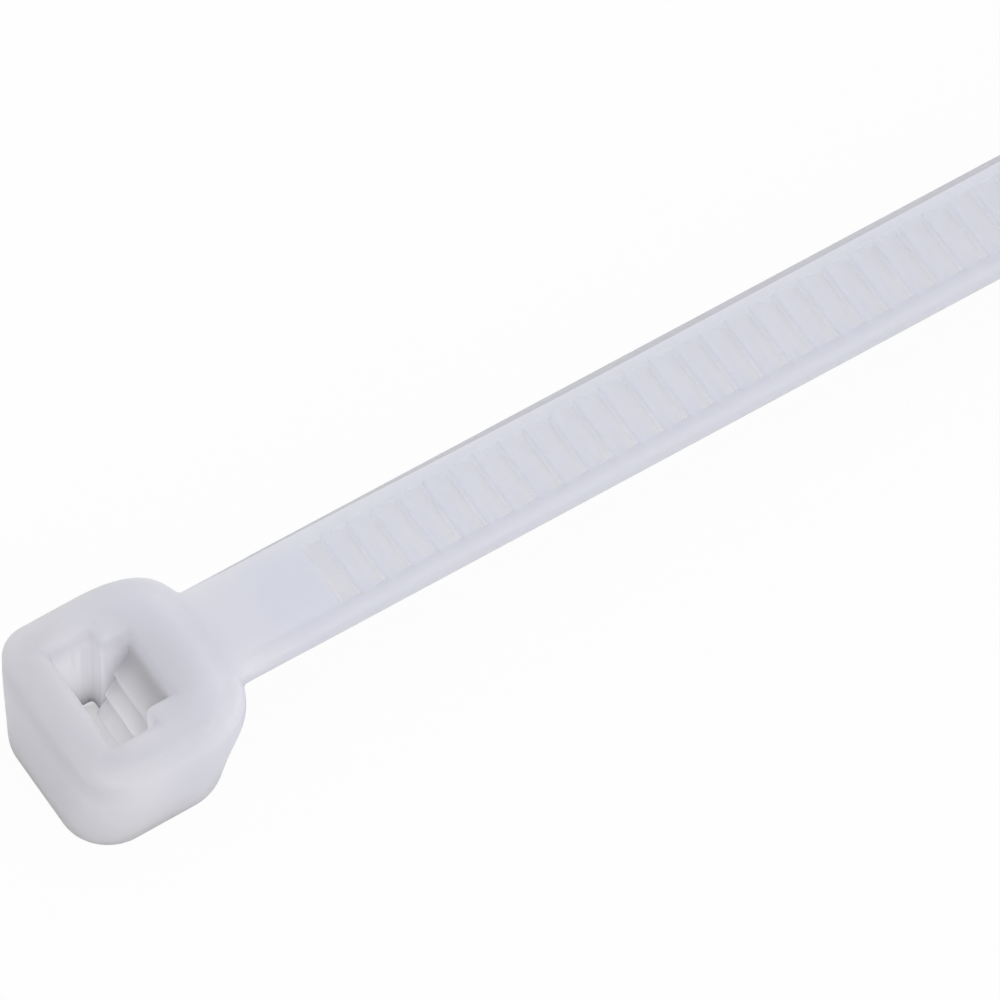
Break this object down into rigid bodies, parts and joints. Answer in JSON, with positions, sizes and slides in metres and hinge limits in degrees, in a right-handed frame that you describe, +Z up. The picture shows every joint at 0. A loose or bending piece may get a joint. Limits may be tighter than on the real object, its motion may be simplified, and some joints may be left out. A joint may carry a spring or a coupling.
{
  "type": "cable tie",
  "caption": "Self-locking nylon cable tie: a head with a strap passage and a sprung pawl, a toothed strap with smooth rails, and a narrow grooved tail.",
  "frame": {"origin": "middle of the strap passage through the head, in the plane of the head's exit face, on which the tie lies", "axes": "+X along the strap from the head to the tail, +Z up out of the head's bundle face, which is the side of the strap's teeth"},
  "size_m": [0.2003, 0.009, 0.0062],
  "materials": {
    "nylon": "natural translucent nylon, satin moulded surface"
  },
  "bodies": {
    "root": {"cable_tie": "nylon"}
  },
  "joints": []
}
